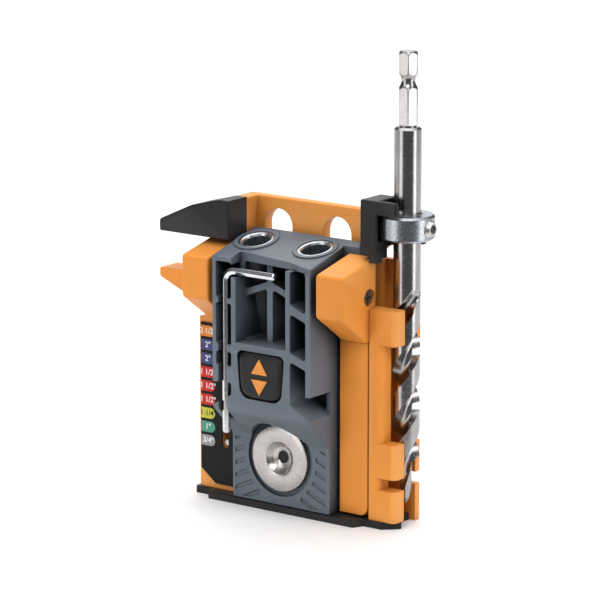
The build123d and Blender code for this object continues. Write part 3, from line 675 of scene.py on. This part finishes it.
def make_label_field(row, text, colour, ink):
    """One coloured field of the scale, with its screw length printed on it."""
    z = (POINTER_LOW.z + POINTER_HIGH.z) / 2 + row * ROW_PITCH
    front = LABEL_LOW.y
    left = LABEL_LOW.x + 0.15 * MM
    r = FIELD_H / 2
    outline = [(left, z - r), (FIELD_RIGHT - r, z - r)]
    outline += [(FIELD_RIGHT - r + r * sin(a), z - r * cos(a))
                for a in (pi * i / ARC_STEPS for i in range(1, ARC_STEPS))]
    outline += [(FIELD_RIGHT - r, z + r), (left, z + r)]
    rows = [[(x, y, height) for x, height in outline] for y in (front + FIELD_LIFT, front - FIELD_LIFT)]
    mesh = mesh_from(f"field_{row + 1}", ring_rows(rows))
    material = print_ink(f"field_ink_{row + 1}", colour)
    add_piece(f"label_field_{row + 1}", mesh, "label_plate", material, replaced=False)
    curve = bpy.data.curves.new(f"number_{row + 1}", "FONT")
    curve.body = text
    curve.size = LETTER_H
    curve.align_x = "CENTER"
    curve.align_y = "CENTER"
    curve.extrude = 0.03 * MM
    curve.offset = 0.04 * MM
    curve.resolution_u = 3
    letters = bpy.data.objects.new("letters", curve)
    shape = bpy.data.meshes.new_from_object(letters)
    bpy.data.objects.remove(letters)
    centre = Vector(((left + FIELD_RIGHT) / 2, front - 0.06 * MM, z))
    shape.transform(Matrix.Translation(centre) @ Matrix.Rotation(pi / 2, 4, "X"))
    add_piece(f"label_number_{row + 1}", shape, "label_plate", print_ink(f"number_ink_{row + 1}", ink),
              replaced=False)


# ---------------------------------------------------------------- button


def make_lock_button():
    """The push button: a pillow with a broad bevel round a slightly hollow face."""
    low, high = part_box("lock_button")
    middle = Vector(((low.x + high.x) / 2, 0, (low.z + high.z) / 2))
    half_h = (high.z - low.z) / 2
    top_half = (high.x - low.x) / 2
    low_half = top_half - 1.3 * MM
    count = 96
    # The outline is a superellipse; a smaller power makes its corners tighter.
    upper_power, lower_power = 0.36, 0.46

    def rim(shrink, depth):
        """A rounded, tapering outline drawn in by shrink at a depth behind the front."""
        points = []
        for i in range(count):
            a = 2 * pi * i / count
            c, s = cos(a), sin(a)
            power = upper_power if s > 0 else lower_power
            h = half_h - shrink
            z = h * (abs(s) ** power) * (1 if s > 0 else -1)
            blend = (z + half_h) / (2 * half_h)
            width = low_half + (top_half - low_half) * blend ** 0.8 - shrink
            x = width * (abs(c) ** power) * (1 if c > 0 else -1)
            points.append((middle.x + x, low.y + depth, middle.z + z))
        return points

    thick = high.y - low.y
    rows = [rim(0.25 * MM, thick), rim(0.02 * MM, thick - 0.2 * MM), rim(0.0, 1.25 * MM),
            rim(0.25 * MM, 0.75 * MM), rim(0.8 * MM, 0.35 * MM), rim(1.25 * MM, 0.14 * MM),
            rim(1.7 * MM, 0.04 * MM), rim(2.4 * MM, 0.02 * MM), rim(3.6 * MM, 0.06 * MM),
            rim(5.6 * MM, 0.06 * MM)]
    add_piece("lock_button_pillow", mesh_from("lock_button_shape", ring_rows(rows), 50), "lock_button")


def make_button_spring():
    """The coil behind the button."""
    low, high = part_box("button_spring")
    centre_x, centre_z = (low.x + high.x) / 2, (low.z + high.z) / 2
    wire = 0.25 * MM
    coil = (high.x - low.x) / 2 - wire
    length = high.y - low.y - 2 * wire
    turns, steps_per_turn, corners = 5, 28, 10
    steps = turns * steps_per_turn
    rise = length / steps
    rows = []
    for i in range(steps + 1):
        a = 2 * pi * i / steps_per_turn
        out = Vector((cos(a), 0, sin(a)))
        centre = Vector((centre_x, low.y + wire + rise * i, centre_z)) + out * coil
        rows.append([centre + (out * cos(c) + Vector((0, 1, 0)) * sin(c)) * wire
                     for c in (2 * pi * k / corners for k in range(corners))])
    mesh = mesh_from("button_spring_shape", ring_rows(rows), 60)
    piece = add_piece("button_spring_coil", mesh, "button_spring")
    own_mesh(piece)


# ---------------------------------------------------------------- stage

CAMERA_TURN = radians(36.84)
CAMERA_TILT = radians(12.45)
CAMERA_PLACE = Vector((0.7243, -0.9552, 0.3408))


def make_floor():
    """A pale sheet under the object, swept up far behind it."""
    bm = bmesh.new()
    half_width, front, depth, radius, top = 0.9, -0.13, 2.6, 0.9, 1.4
    arc_steps = 16
    profile = [(front, 0.0), (depth - radius, 0.0)]
    profile += [(depth - radius + radius * sin(a), radius * (1 - cos(a)))
                for a in (pi / 2 * i / arc_steps for i in range(1, arc_steps + 1))]
    profile.append((depth, top))
    turn = Matrix.Rotation(CAMERA_TURN, 4, "Z")
    sides = [[bm.verts.new(turn @ Vector((x, y, z))) for y, z in profile] for x in (-half_width, half_width)]
    for i in range(len(profile) - 1):
        bm.faces.new((sides[0][i], sides[1][i], sides[1][i + 1], sides[0][i + 1]))
    mesh = mesh_from("floor_shape", bm)
    shader = Shader("floor_paper", (0.93, 0.93, 0.93), 0.85)
    shader.vary_colour(shader.noise(6, 2), (0.3, 0.7), 1.0, 0.99)
    mesh.materials.append(shader.material)
    floor_piece = bpy.data.objects.new("floor", mesh)
    bpy.context.scene.collection.objects.link(floor_piece)


def area_light(name, place, target, size, power):
    """A rectangular light at a place, aimed at a target."""
    data = bpy.data.lights.new(name, "AREA")
    data.shape = "RECTANGLE"
    data.size, data.size_y = size
    data.energy = power
    light = bpy.data.objects.new(name, data)
    light.location = place
    light.rotation_euler = (Vector(target) - Vector(place)).to_track_quat("-Z", "Y").to_euler()
    bpy.context.scene.collection.objects.link(light)


def make_world():
    """A dim studio, brighter overhead, so that metal mirrors mainly the lights."""
    world = bpy.data.worlds.new("studio")
    world.use_nodes = True
    tree = world.node_tree
    sky = tree.nodes["Background"]
    place = tree.nodes.new("ShaderNodeTexCoord")
    split = tree.nodes.new("ShaderNodeSeparateXYZ")
    ramp = tree.nodes.new("ShaderNodeValToRGB")
    ramp.color_ramp.elements[0].position = 0.5
    ramp.color_ramp.elements[0].color = (0.13, 0.13, 0.135, 1)
    ramp.color_ramp.elements[1].position = 0.95
    ramp.color_ramp.elements[1].color = (0.5, 0.5, 0.5, 1)
    tree.links.new(place.outputs["Generated"], split.inputs["Vector"])
    tree.links.new(split.outputs["Z"], ramp.inputs["Fac"])
    tree.links.new(ramp.outputs["Color"], sky.inputs["Color"])
    sky.inputs["Strength"].default_value = 1.0
    bpy.context.scene.world = world


def make_camera():
    """The camera: a long lens, some way off and a little above the object."""
    data = bpy.data.cameras.new("camera")
    data.sensor_width = 36
    data.lens = 213.4
    data.clip_start = 0.05
    data.clip_end = 20
    camera = bpy.data.objects.new("camera", data)
    camera.location = CAMERA_PLACE
    camera.rotation_euler = (pi / 2 - CAMERA_TILT, 0, CAMERA_TURN)
    bpy.context.scene.collection.objects.link(camera)
    bpy.context.scene.camera = camera


def from_camera(right, near, up):
    """A place in the studio, to the right of, in front of (towards the camera) and above the object."""
    return Matrix.Rotation(CAMERA_TURN, 3, "Z") @ Vector((right, -near, up))


# ---------------------------------------------------------------- assembly

make_drill_bit()
make_stop_collar()
make_set_screw()
make_bushing("left")
make_bushing("right")
make_clamp_disc()
make_disc_screw()
make_hole_shade_plug()
make_hex_key()
make_lock_button()
make_button_spring()
for row, (text, colour, ink) in enumerate(FIELDS):
    make_label_field(row, text, colour, ink)

REPLACED = ("step_drill_bit", "stop_collar", "collar_set_screw", "drill_bushing_left", "drill_bushing_right",
            "clamp_disc", "disc_screw", "hex_key", "lock_button", "button_spring")
for name, node in NODES.items():
    if name not in REPLACED:
        node.data.materials.clear()
        node.data.materials.append(MATERIALS[SLOT_OF[name]])

bpy.context.scene.view_settings.view_transform = "Standard"
make_floor()
make_camera()
make_world()
CENTRE = (cad_low + cad_high) / 2
BOX_HEIGHT = 1.8
BOX_MIDDLE = Vector((CENTRE.x, CENTRE.y, 0.4))


def softbox(name, bearing, distance, width, power):
    """A tall light panel at a bearing from the camera, to the right of it when positive."""
    a = radians(bearing)
    place = BOX_MIDDLE + from_camera(distance * sin(a), distance * cos(a), 0)
    area_light(name, place, BOX_MIDDLE, (width, BOX_HEIGHT), power)


softbox("right_box", 61, 1.2, 0.5, 8.5)
softbox("left_box", -58, 1.2, 0.56, 6.5)
area_light("front", from_camera(-0.15, 1.1, 1.1), CENTRE, (0.8, 0.6), 9)
area_light("top", from_camera(0.0, -0.35, 1.3), from_camera(0.0, -0.35, 0.0), (1.5, 1.5), 14)
area_light("wash", from_camera(0.0, -1.7, 1.3), from_camera(0.0, -1.7, 0.0), (1.8, 1.1), 16)
